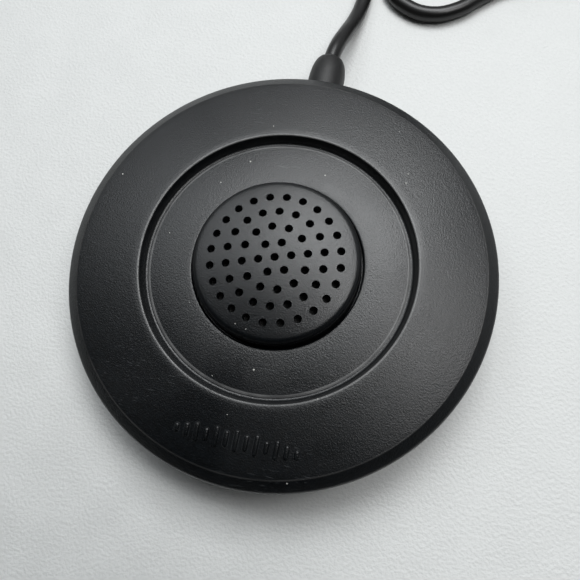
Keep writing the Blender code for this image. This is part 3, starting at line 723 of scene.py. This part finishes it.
def boolean(piece, tool, operation):
    """Cuts the tool from the piece, or joins it on, and applies the modifier."""
    modifier = piece.modifiers.new(operation.lower(), "BOOLEAN")
    modifier.operation = operation
    modifier.solver = "EXACT"
    modifier.object = tool
    bpy.ops.object.select_all(action="DESELECT")
    bpy.context.view_layer.objects.active = piece
    piece.select_set(True)
    bpy.ops.object.modifier_apply(modifier=modifier.name)
    bpy.data.objects.remove(tool, do_unlink=True)


def joined(pieces):
    """One object made of all these."""
    bpy.ops.object.select_all(action="DESELECT")
    for piece in pieces:
        piece.select_set(True)
    bpy.context.view_layer.objects.active = pieces[0]
    bpy.ops.object.join()
    return pieces[0]


def copies(piece, matrices):
    """The piece and its copies, each with its own mesh, set in place at these matrices."""
    made = [piece]
    for _ in matrices[1:]:
        twin = piece.copy()
        twin.data = piece.data.copy()
        bpy.context.scene.collection.objects.link(twin)
        made.append(twin)
    for copy, matrix in zip(made, matrices):
        copy.data.transform(matrix)
    return made


def at(x, y, z=0.0):
    return Matrix.Translation(Vector((x, y, z)) * MM)


def around(circle, angles, z=0.0):
    """Places on a circle about Z, at these angles in degrees."""
    turns = [math.radians(angle) for angle in angles]
    return [at(circle * math.cos(turn), circle * math.sin(turn), z) for turn in turns]


def placed(piece, *nodes, slot=None):
    """Gives a finished piece its finish and body, and lets it stand for its parts."""
    slot = slot or slot_of[nodes[0]]
    piece.data.materials.clear()
    piece.data.materials.append(finishes[slot])
    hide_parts(*nodes)
    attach(piece, "root")
    bpy.ops.object.select_all(action="DESELECT")
    print(f"{piece.name}: {len(piece.data.polygons)} faces")
    return piece


# %% [markdown]
# ## The cover's shape
# The cover is one moulding. From the opening for the cap outwards it has a low crowned plateau, a
# groove with a small step down on its inner side and a tall wall on its outer side, a wide ring that
# slopes down to a crisp edge, a chamfer and a side that leans in for the mould. Two formulas give
# the crowned faces.

# %% Cover: turned shell
GAP = 0.3
OPENING_RADIUS = 13.8 + GAP
PLATEAU_TOP = 12.45
RING_INNER = 23.3
RING_TOP = 13.64
COVER_BOTTOM = corners_of("top_cover")[0].z
PLATEAU_CURVE = 0.0086
RING_FALL = 0.115
RING_CURVE = 0.0024


def plateau_height(r):
    return PLATEAU_TOP - PLATEAU_CURVE * (r - OPENING_RADIUS) ** 2


def ring_height(r):
    run = r - RING_INNER
    return RING_TOP - RING_FALL * run - RING_CURVE * run**2


def ring_slope(r):
    return RING_FALL + 2 * RING_CURVE * (r - RING_INNER)


def steps_between(low, high, count):
    return [low + (high - low) * i / (count - 1) for i in range(count)]


cover_corners = [(OPENING_RADIUS, 10.85, 0.1), (OPENING_RADIUS, PLATEAU_TOP, 0.4)]
cover_corners += [(r, plateau_height(r), 0) for r in steps_between(15.0, 21.0, 12)]
cover_corners += [(21.46, 11.99, 0.2), (22.1, 11.48, 0.5), (22.8, RING_TOP - 0.02, 0.3)]
cover_corners += [(r, ring_height(r), 0) for r in steps_between(23.7, 33.4, 22)]
cover_corners += [(34.0, 12.12, 0.22), (36.07, 10.76, 0.9), (35.2, COVER_BOTTOM, 0.25)]
cover_corners += [(33.8, COVER_BOTTOM, 0.2), (33.9, 9.4, 0.6), (32.8, 10.6, 0.4), (24.1, 11.9, 0.3)]
cover_corners += [(23.5, 10.0, 0.3), (20.8, 10.0, 0.3), (20.2, 10.6, 0.2)]
cover = turned("cover", rounded(cover_corners), steps=192, closed=True)
print(f"cover shell: {len(cover.data.vertices)} vertices")

# %% [markdown]
# ## Bosses, screw holes and the neck slot
# Under the cover, three long bosses take the screws from the base and three short ones hold the
# capsule frame. Each is a cylinder that is joined on, and then drilled. The wall has a slot at the
# back for the neck of the boot.

# %% Cover: bosses and holes
LONG_BOSSES = (26.2, (30.0, 150.0, 270.0))
SHORT_BOSSES = (18.2, (0.0, 120.0, 240.0))
NECK_Y = 34.8


def round_bars(radius, low, high, matrices, sides=32):
    """Separate upright cylinders with a small chamfer on both ends."""
    edge = 0.15
    outline = [(0, low), (radius - edge, low), (radius, low + edge), (radius, high - edge)]
    outline += [(radius - edge, high), (0, high)]
    return joined(copies(turned("round_bar", outline, steps=sides), matrices))


bosses = [
    round_bars(2.6, 3.7, 12.2, around(*LONG_BOSSES)),
    round_bars(2.0, 9.55, 11.2, around(*SHORT_BOSSES)),
]
boolean(cover, joined(bosses), "UNION")
along_neck = at(0, NECK_Y, LEAD_AXIS_HEIGHT) @ Matrix.Rotation(math.pi / 2, 4, "X")
drills = [
    round_bars(1.5, 3.0, 9.5, around(*LONG_BOSSES)),
    round_bars(1.3, 9.0, 10.9, around(*SHORT_BOSSES)),
    round_bars(2.8, -3.0, 3.0, [along_neck], 48),
]
boolean(cover, joined(drills), "DIFFERENCE")

bpy.ops.mesh.primitive_cube_add(size=1.0)
slot_way = bpy.context.object
slot_way.data.transform(at(0, NECK_Y, 3.6) @ Matrix.Diagonal((5.6 * MM, 6.0 * MM, 5.4 * MM, 1.0)))
boolean(cover, slot_way, "DIFFERENCE")
print(f"cover: {len(cover.data.polygons)} faces")

# %% [markdown]
# ## A plain row of level bars
# The near side of the ring carries a small raised ornament. It is a row of upright bars whose
# heights rise and fall like a sound level, which says what the thing is for in every language.
# Each bar is a thin cube with rounded edges, leaned to lie flat on the sloping ring. Its foot is
# sunk into the wall, so the bars and the cover only have to be joined as one object.

# %% Cover: level bars
BAR_HEIGHTS = (1.5, 2.2, 3.0, 2.0, 3.3, 2.5, 3.4, 2.5, 3.3, 2.0, 3.0, 2.2, 1.5)
BAR_PITCH = 1.58
BAR_WIDTH = 0.74
BAR_DEPTH = 1.0
BAR_CROWN = 0.05
BAR_RAISED = 0.36
ROW_Y = -28.8


def level_bar(x, length):
    """One bar with round ends, standing on the ring's slope."""
    bpy.ops.object.select_all(action="DESELECT")
    bpy.ops.mesh.primitive_cube_add(size=1.0)
    bar = bpy.context.object
    bar.data.transform(Matrix.Diagonal((BAR_WIDTH * MM, length * MM, BAR_DEPTH * MM, 1.0)))
    bpy.ops.object.mode_set(mode="EDIT")
    bpy.ops.mesh.select_all(action="SELECT")
    bpy.ops.object.mode_set(mode="OBJECT")
    for edge in bar.data.edges:
        ends = [bar.data.vertices[v].co for v in edge.vertices]
        edge.select = abs(ends[0].z - ends[1].z) > BAR_DEPTH / 2 * MM
    bpy.ops.object.mode_set(mode="EDIT")
    bpy.ops.mesh.select_mode(type="EDGE")
    bpy.ops.mesh.bevel(offset=BAR_WIDTH * 0.48 * MM, segments=5, affect="EDGES")
    bpy.ops.object.mode_set(mode="OBJECT")
    for face in bar.data.polygons:
        face.select = face.normal.z > 0.9
    bpy.ops.object.mode_set(mode="EDIT")
    bpy.ops.mesh.select_mode(type="FACE")
    bpy.ops.mesh.inset(thickness=0.07 * MM)
    bpy.ops.transform.translate(value=(0, 0, BAR_CROWN * MM))
    bpy.ops.object.mode_set(mode="OBJECT")
    r = math.hypot(x, ROW_Y)
    normal = Vector((x / r * ring_slope(r), ROW_Y / r * ring_slope(r), 1.0)).normalized()
    lean = Vector((0, 0, 1)).rotation_difference(normal).to_matrix().to_4x4()
    sunk = at(0, 0, BAR_RAISED - BAR_CROWN - BAR_DEPTH / 2)
    bar.data.transform(at(x, ROW_Y, ring_height(r)) @ lean @ sunk)
    return bar


first_x = -BAR_PITCH * (len(BAR_HEIGHTS) - 1) / 2 + 0.3
bars = [level_bar(first_x + BAR_PITCH * i, length) for i, length in enumerate(BAR_HEIGHTS)]
cover = joined([cover, *bars])
placed(smoothed(cover), "top_cover")

# %% [markdown]
# ## The grille cap
# The cap is a shallow dome with a soft edge and a flange that is trapped under the cover. Its 61
# holes sit on straight rows: one in the middle and rings of 6, 12, 18 and 24. One drill with a
# countersunk top is modelled, copied to every place, leaned with the dome and cut in one go, so
# that each rim gets a fine chamfer that shows as a pale ring.

# %% Cap: turned dome
CAP_TOP = 16.0
CAP_RADIUS = 13.8
CAP_WALL = 1.4
CAP_LEDGE = 10.55
FLANGE_RADIUS = 15.6
DOME_CURVE = 0.00614


def dome_height(r):
    return CAP_TOP - DOME_CURVE * r * r


inner = CAP_RADIUS - CAP_WALL
cap_corners = [(r, dome_height(r), 0) for r in steps_between(0.0, 12.2, 26)]
cap_corners += [(CAP_RADIUS - 0.05, 14.84, 1.15), (CAP_RADIUS, CAP_LEDGE, 0.15)]
cap_corners += [(FLANGE_RADIUS, CAP_LEDGE, 0.15), (FLANGE_RADIUS, CAP_LEDGE - 1.0, 0.15)]
cap_corners += [(inner, CAP_LEDGE - 1.0, 0.15), (inner, 13.65, 0.4)]
cap_corners += [(r, dome_height(r) - CAP_WALL, 0) for r in (11.0, 9.0, 6.0, 3.0, 0.0)]
cap = turned("cap", rounded(cap_corners, 8), steps=160)
print(f"cap dome: {len(cap.data.vertices)} vertices")

# %% Cap: the 61 holes
HOLE_RADIUS = 0.62
HOLE_PITCH = 2.645
HOLE_TURN = 17.5
RIM = 0.07


def hole_matrices():
    """The middle hole, then six more for each ring; each leans with the dome."""
    matrices = [at(0, 0, CAP_TOP)]
    for ring in range(1, 5):
        r = ring * HOLE_PITCH
        lean = Matrix.Rotation(math.atan(2 * DOME_CURVE * r), 4, "Y")
        for i in range(6 * ring):
            turn = Matrix.Rotation(math.radians(HOLE_TURN + 60.0 * i / ring), 4, "Z")
            matrices.append(turn @ at(r, 0, dome_height(r)) @ lean)
    return matrices


drill_outline = [(0, -3.0), (HOLE_RADIUS, -3.0), (HOLE_RADIUS, -RIM)]
drill_outline += [(HOLE_RADIUS + 0.4, 0.4 - RIM), (0, 0.4 - RIM)]
drill = turned("drill", drill_outline, steps=28)
holes = hole_matrices()
boolean(cap, joined(copies(drill, holes)), "DIFFERENCE")
placed(smoothed(cap), "grille_cap")
print(f"{len(holes)} holes")

# %% [markdown]
# ## Base and foot
# The base is a shallow pan with a rim that tucks under the cover, a groove for the rubber foot and
# three recesses for the screws. The posts, pegs and the saddle inside it hold the board, the
# weight and the lead. The foot is one soft ring.

# %% Base plate
BASE_BOTTOM = corners_of("base_plate")[0].z
foot_low, foot_high = corners_of("foot_ring")
FOOT_OUTER = foot_high.x
FOOT_INNER = FOOT_OUTER - 3.2

base_corners = [(0.0, 2.4, 0), (32.4, 2.4, 0.15), (32.4, 4.4, 0.15), (33.4, 4.4, 0.15)]
base_corners += [(33.4, 2.3, 0), (35.0, 2.3, 0.1), (34.95, 1.5, 0.5), (33.7, BASE_BOTTOM, 0.3)]
base_corners += [(FOOT_OUTER + GAP, BASE_BOTTOM, 0.1), (FOOT_OUTER + GAP, 1.5, 0)]
base_corners += [(FOOT_INNER - GAP, 1.5, 0), (FOOT_INNER - GAP, BASE_BOTTOM, 0.15)]
base_corners += [(0.0, BASE_BOTTOM, 0)]
base = turned("base", rounded(base_corners), steps=160)


def block(low, high):
    """A box between two corners, with its edges broken."""
    bpy.ops.object.select_all(action="DESELECT")
    bpy.ops.mesh.primitive_cube_add(size=1.0)
    box = bpy.context.object
    low, high = Vector(low), Vector(high)
    box.data.transform(at(*((low + high) / 2)) @ Matrix.Diagonal((*((high - low) * MM), 1.0)))
    bpy.ops.object.mode_set(mode="EDIT")
    bpy.ops.mesh.select_all(action="SELECT")
    bpy.ops.mesh.bevel(offset=0.15 * MM, segments=2, affect="EDGES")
    bpy.ops.object.mode_set(mode="OBJECT")
    return box


CLAMP_Y = middle_of("cord_clamp").y
PEGS = (16.8, LONG_BOSSES[1])
POSTS = (9.6, (0.0, 180.0))
boolean(base, round_bars(3.0, 1.8, 3.4, around(*LONG_BOSSES)), "UNION")
boolean(base, round_bars(1.2, 2.0, 5.6, around(*PEGS), 24), "UNION")
boolean(base, round_bars(1.7, 2.0, 3.3, around(*POSTS)), "UNION")
saddle = block((-6.0, CLAMP_Y - 1.5, 2.0), (6.0, CLAMP_Y + 1.5, LEAD_AXIS_HEIGHT - 1.8))
boolean(base, saddle, "UNION")
boolean(base, block((-2.5, 33.0, 2.0), (2.5, 34.8, 3.7)), "UNION")
boolean(base, block((-2.9, 31.5, 3.5), (2.9, 36.0, 6.0)), "DIFFERENCE")
boolean(base, round_bars(1.5, 0.0, 4.2, around(*LONG_BOSSES)), "DIFFERENCE")
boolean(base, round_bars(2.5, 0.0, 2.2, around(*LONG_BOSSES), 48), "DIFFERENCE")
small_holes = [*around(*POSTS), at(4.2, CLAMP_Y), at(-4.2, CLAMP_Y)]
boolean(base, round_bars(1.1, 1.9, 5.0, small_holes), "DIFFERENCE")
placed(smoothed(base), "base_plate")

# %% Foot ring
foot_corners = [(FOOT_OUTER, 1.2, 0.3), (FOOT_OUTER, 0.0, 0.35)]
foot_corners += [(FOOT_INNER, 0.0, 0.35), (FOOT_INNER, 1.2, 0.3)]
placed(turned("foot", rounded(foot_corners), steps=160, closed=True), "foot_ring")

# %% [markdown]
# ## Base screws
# The three screws that show from below are pan-heads with a cross recess. The head and shank are
# turned as one, the cross is cut with two crossed blocks, and the finished screw is copied.

# %% Base screws
head_low = corners_of("base_screw_1")[0].z
screw_corners = [(0.0, 0.0, 0), (2.2, 0.0, 0.45), (2.2, 0.9, 0.1), (1.1, 0.9, 0.1)]
for thread in range(9):
    screw_corners += [(1.1, 1.35 + 0.7 * thread, 0), (0.85, 1.7 + 0.7 * thread, 0)]
screw_corners += [(0.0, 8.4, 0)]
screw = turned("base_screw", rounded(screw_corners), steps=40)
boolean(screw, block((-1.25, -0.24, -0.5), (1.25, 0.24, 0.5)), "DIFFERENCE")
boolean(screw, block((-0.24, -1.25, -0.5), (0.24, 1.25, 0.5)), "DIFFERENCE")
screw_places = around(*LONG_BOSSES, head_low)
screw_places = [place @ Matrix.Rotation(0.4 * i, 4, "Z") for i, place in enumerate(screw_places)]
for number, made in enumerate(copies(screw, screw_places), start=1):
    made.name = f"bottom_screw_{number}"
    placed(made, f"base_screw_{number}")

# %% [markdown]
# ## Boot
# The boot is a soft bell that stops the lead from bending sharply where it leaves the case. It is
# turned about Z and then laid along the lead. Its mouth is a real hole, so the lead runs into it
# with a dark line round it.

# %% Boot
def laid_along_lead(piece, x, z):
    piece.data.transform(at(x, 0, z) @ Matrix.Rotation(-math.pi / 2, 4, "X"))
    return piece


BOOT_TIP = boot_high.y
BOOT_RADIUS = boot_high.x
mouth = CORD_DIAMETER / 2 + 0.06
boot_corners = [(0.0, BOOT_TIP - 3.4, 0), (mouth, BOOT_TIP - 3.4, 0), (mouth, BOOT_TIP, 0.08)]
shoulder = CORD_DIAMETER / 2 + 0.45
for turn in steps_between(10.0, 90.0, 9):
    angle = math.radians(turn)
    bulge = shoulder + (BOOT_RADIUS - shoulder) * math.sin(angle)
    boot_corners.append((bulge, BOOT_TIP - 4.6 * (1 - math.cos(angle)), 0))
boot_corners += [(BOOT_RADIUS, 36.3, 0.12), (2.5, 36.3, 0.1), (2.5, 31.6, 0.1), (3.3, 31.6, 0.15)]
boot_corners += [(3.3, 30.0, 0.15), (0.0, 30.0, 0)]
boot = turned("boot", rounded(boot_corners), steps=72)
placed(laid_along_lead(boot, 0.0, LEAD_AXIS_HEIGHT), "cord_boot")

# %% [markdown]
# ## Strap
# A soft strap holds the wound lead. Its loop is drawn as a line, pulled out to the strap's width,
# and thickened with a Solidify modifier, and a stud on top closes it.

# %% Strap
TIE_REACH = 28.4
tie_top = corners_of("cord_tie")[1].z
inner_end = math.sqrt(6.5**2 - 3.0**2) - GAP
loop_corners = [(inner_end - 0.8, 0.0, 1.4), (TIE_REACH + 0.8, 0.0, 1.4)]
loop_corners += [(TIE_REACH + 0.8, tie_top, 1.4), (inner_end - 0.8, tie_top, 1.4)]
loop = rounded(loop_corners, 8)
strap = start_with_point("strap", (loop[0].x, -3.0, loop[0].y))
for before, after in zip(loop, [*loop[1:], loop[0]]):
    extrude_by((after.x - before.x, 0.0, after.y - before.y))
bpy.ops.mesh.select_all(action="SELECT")
bpy.ops.mesh.remove_doubles(threshold=WELD)
for _ in range(6):
    extrude_by((0.0, 1.0, 0.0))
bpy.ops.mesh.select_all(action="SELECT")
bpy.ops.mesh.normals_make_consistent(inside=False)
bpy.ops.object.mode_set(mode="OBJECT")
for kind, values in (
    ("SOLIDIFY", {"thickness": STRAP_THICKNESS * MM, "offset": -1.0}),
    ("BEVEL", {"width": 0.2 * MM, "segments": 3, "limit_method": "ANGLE"}),
):
    modifier = strap.modifiers.new(kind.lower(), kind)
    for setting, value in values.items():
        setattr(modifier, setting, value)
    bpy.ops.object.modifier_apply(modifier=modifier.name)
stud_corners = [(0.0, -0.6, 0), (1.1, -0.6, 0), (1.1, 0.25, 0.1)]
stud_corners += [(1.9, 0.25, 0.15), (1.9, 0.85, 0.3), (0.0, 0.95, 0)]
stud = turned("stud", rounded(stud_corners), steps=48)
stud.data.transform(at(24.0, 0.0, tie_top))
boolean(strap, stud, "UNION")
strap.data.transform(at(*COIL_CENTRE) @ Matrix.Rotation(math.radians(TIE_ANGLE), 4, "Z"))
placed(smoothed(strap), "cord_tie")

# %% [markdown]
# ## Plug
# The plug is a 3.5 mm type with three contacts. The relief behind it has rings that let it bend,
# the body has flutes for the fingers, and the contacts are turned with the waist that a socket's
# spring snaps into. Each piece is a turning laid along the lead's axis.

# %% Plug: relief and body
def plug_turning(name, corners, node, steps=64):
    piece = turned(name, rounded(corners, 4), steps=steps)
    return placed(laid_along_lead(piece, PLUG_AXIS.x, PLUG_AXIS.z), node)


start = corners_of("plug_relief")[0].y
relief_corners = [(0.0, start + 2.2, 0), (mouth, start + 2.2, 0), (mouth, start, 0.08)]
relief_corners += [(1.75, start, 0.1)]
for ring in range(4):
    low = start + 0.9 + 1.5 * ring
    wide = 1.9 + 0.22 * ring
    relief_corners += [(wide, low, 0.12), (wide, low + 0.9, 0.12)]
    relief_corners += [(wide - 0.35, low + 1.0, 0.1), (wide - 0.35, low + 1.4, 0.1)]
relief_corners += [(2.6, start + 6.9, 0.15), (2.6, start + 7.3, 0), (0.0, start + 7.3, 0)]
plug_turning("relief", relief_corners, "plug_relief")

body_corners = [(0.0, start + 7.3, 0), (3.0, start + 7.3, 0.2), (3.5, start + 8.7, 0.5)]
body_corners += [(3.5, start + 21.2, 0.5), (2.9, start + 22.3, 0.25), (0.0, start + 22.3, 0)]
body = turned("plug_grip", rounded(body_corners, 4), steps=96)
flutes = round_bars(0.35, start + 10.5, start + 19.5, around(3.68, range(0, 360, 20)), 16)
boolean(body, flutes, "DIFFERENCE")
placed(laid_along_lead(smoothed(body), PLUG_AXIS.x, PLUG_AXIS.z), "plug_body")

# %% Plug: contacts
def band(name, node, radius, low, high, edge=0.08):
    corners = [(0.0, low, 0), (radius, low, edge), (radius, high, edge), (0.0, high, 0)]
    return plug_turning(name, corners, node)


band("sleeve_contact", "plug_sleeve", 1.75, start + 22.3, start + 28.0)
band("rear_insulator", "plug_insulator_1", 1.68, start + 28.0, start + 29.3, 0.02)
band("ring_contact", "plug_ring", 1.75, start + 29.3, start + 31.3)
band("front_insulator", "plug_insulator_2", 1.68, start + 31.3, start + 32.6, 0.02)
tip_corners = [(0.0, start + 32.6, 0), (1.7, start + 32.6, 0.08), (1.3, start + 33.6, 0.25)]
tip_corners += [(1.75, start + 34.4, 0.25), (1.5, start + 35.2, 0.3)]
tip_corners += [(0.5, start + 36.5, 0.25), (0.0, start + 36.6, 0)]
plug_turning("tip_contact", tip_corners, "plug_tip")

plug_pieces = ("relief", "plug_grip", "sleeve_contact", "rear_insulator")
plug_pieces += ("ring_contact", "front_insulator", "tip_contact")

# %% [markdown]
# ## Studio
# The object lies on a pale, faintly mottled table. Glossy black shows little but what it mirrors, so
# the lights are placed by their reflections: one softbox overhead and a little behind, a smaller one
# to the right and a dim one to the left. A black card in front of them on the near side, and a world
# that darkens towards the viewer, keep the near half of the disc deep black. A camera that looks
# straight at the world sees an even pale grey backdrop instead.

# %% Table
bpy.ops.mesh.primitive_plane_add(size=3.0)
table = bpy.context.object
table.name = "table"
material, tree, shader = new_material("table_white")
place = object_place(tree)
mottle = noise(tree, place, 140.0, 5.0)
grit = noise(tree, place, 1800.0, 2.5)
share = between(tree, add_math(tree, "ADD", mottle.outputs[0], grit.outputs[0]), 0.6, 1.4)
colour = mixed(tree, share, (0.65, 0.66, 0.65, 1.0), (0.70, 0.71, 0.70, 1.0))
connect(tree, colour, shader["Base Color"])
connect(tree, between(tree, mottle.outputs[0], 0.3, 0.7, 0.5, 0.6), shader["Roughness"])
height = add_math(tree, "MULTIPLY", grit.outputs[0], 0.14 * MM)
connect_bump(tree, height, shader)
table.data.materials.append(material)
print("table ready")

# %% Lights
def softbox(name, direction, distance, size, radiance, colour=(1.0, 1.0, 1.0)):
    """A square light in this direction from the object, aimed at it."""
    light = bpy.data.lights.new(name, "AREA")
    light.size = size
    light.energy = radiance * math.pi * size * size
    light.color = colour
    lamp = bpy.data.objects.new(name, light)
    bpy.context.scene.collection.objects.link(lamp)
    direction = Vector(direction).normalized()
    lamp.location = direction * distance
    lamp.rotation_euler = direction.to_track_quat("Z", "Y").to_euler()
    return lamp


softbox("overhead_softbox", (0.03, 0.47, 0.88), 0.5, 0.25, 8.2, (0.97, 0.99, 1.0))
softbox("side_softbox", (0.41, 0.11, 0.91), 0.45, 0.16, 7.0)
softbox("left_softbox", (-0.46, 0.36, 0.80), 0.8, 0.34, 2.7, (0.93, 0.97, 1.0))
print("3 softboxes")

# %% Black card
CARD_WIDTH = 130.0
CARD_LENGTH = 210.0
bpy.ops.mesh.primitive_plane_add(size=1.0)
card = bpy.context.object
card.name = "black_card"
card_size = Matrix.Diagonal((CARD_WIDTH * MM, CARD_LENGTH * MM, 1.0, 1.0))
card.data.transform(at(-30.0, -100.0) @ card_size)
card.matrix_world = camera.matrix_world @ at(0.0, 0.0, 6.0)
material, tree, shader = new_material("card_black")
shader["Base Color"].default_value = (0.01, 0.01, 0.01, 1.0)
shader["Roughness"].default_value = 0.9
card.data.materials.append(material)
card.visible_camera = False
print("black card hung")

# %% World
world = bpy.data.worlds.new("studio")
bpy.context.scene.world = world
world.use_nodes = True
tree = world.node_tree
direction = add_node(tree, "TexCoord", {}).outputs["Generated"]
ahead = add_node(tree, "SeparateXYZ", {0: direction}).outputs[1]
share = between(tree, ahead, -0.5, 0.7)
colour = mixed(tree, share, (0.03, 0.03, 0.03, 1.0), (0.40, 0.41, 0.42, 1.0))
seen = add_node(tree, "LightPath", {}).outputs["Is Camera Ray"]
colour = mixed(tree, seen, colour, (0.74, 0.75, 0.76, 1.0))
connect(tree, colour, tree.nodes["Background"].inputs["Color"])
bpy.context.scene.view_settings.view_transform = "Standard"
print("world ready")
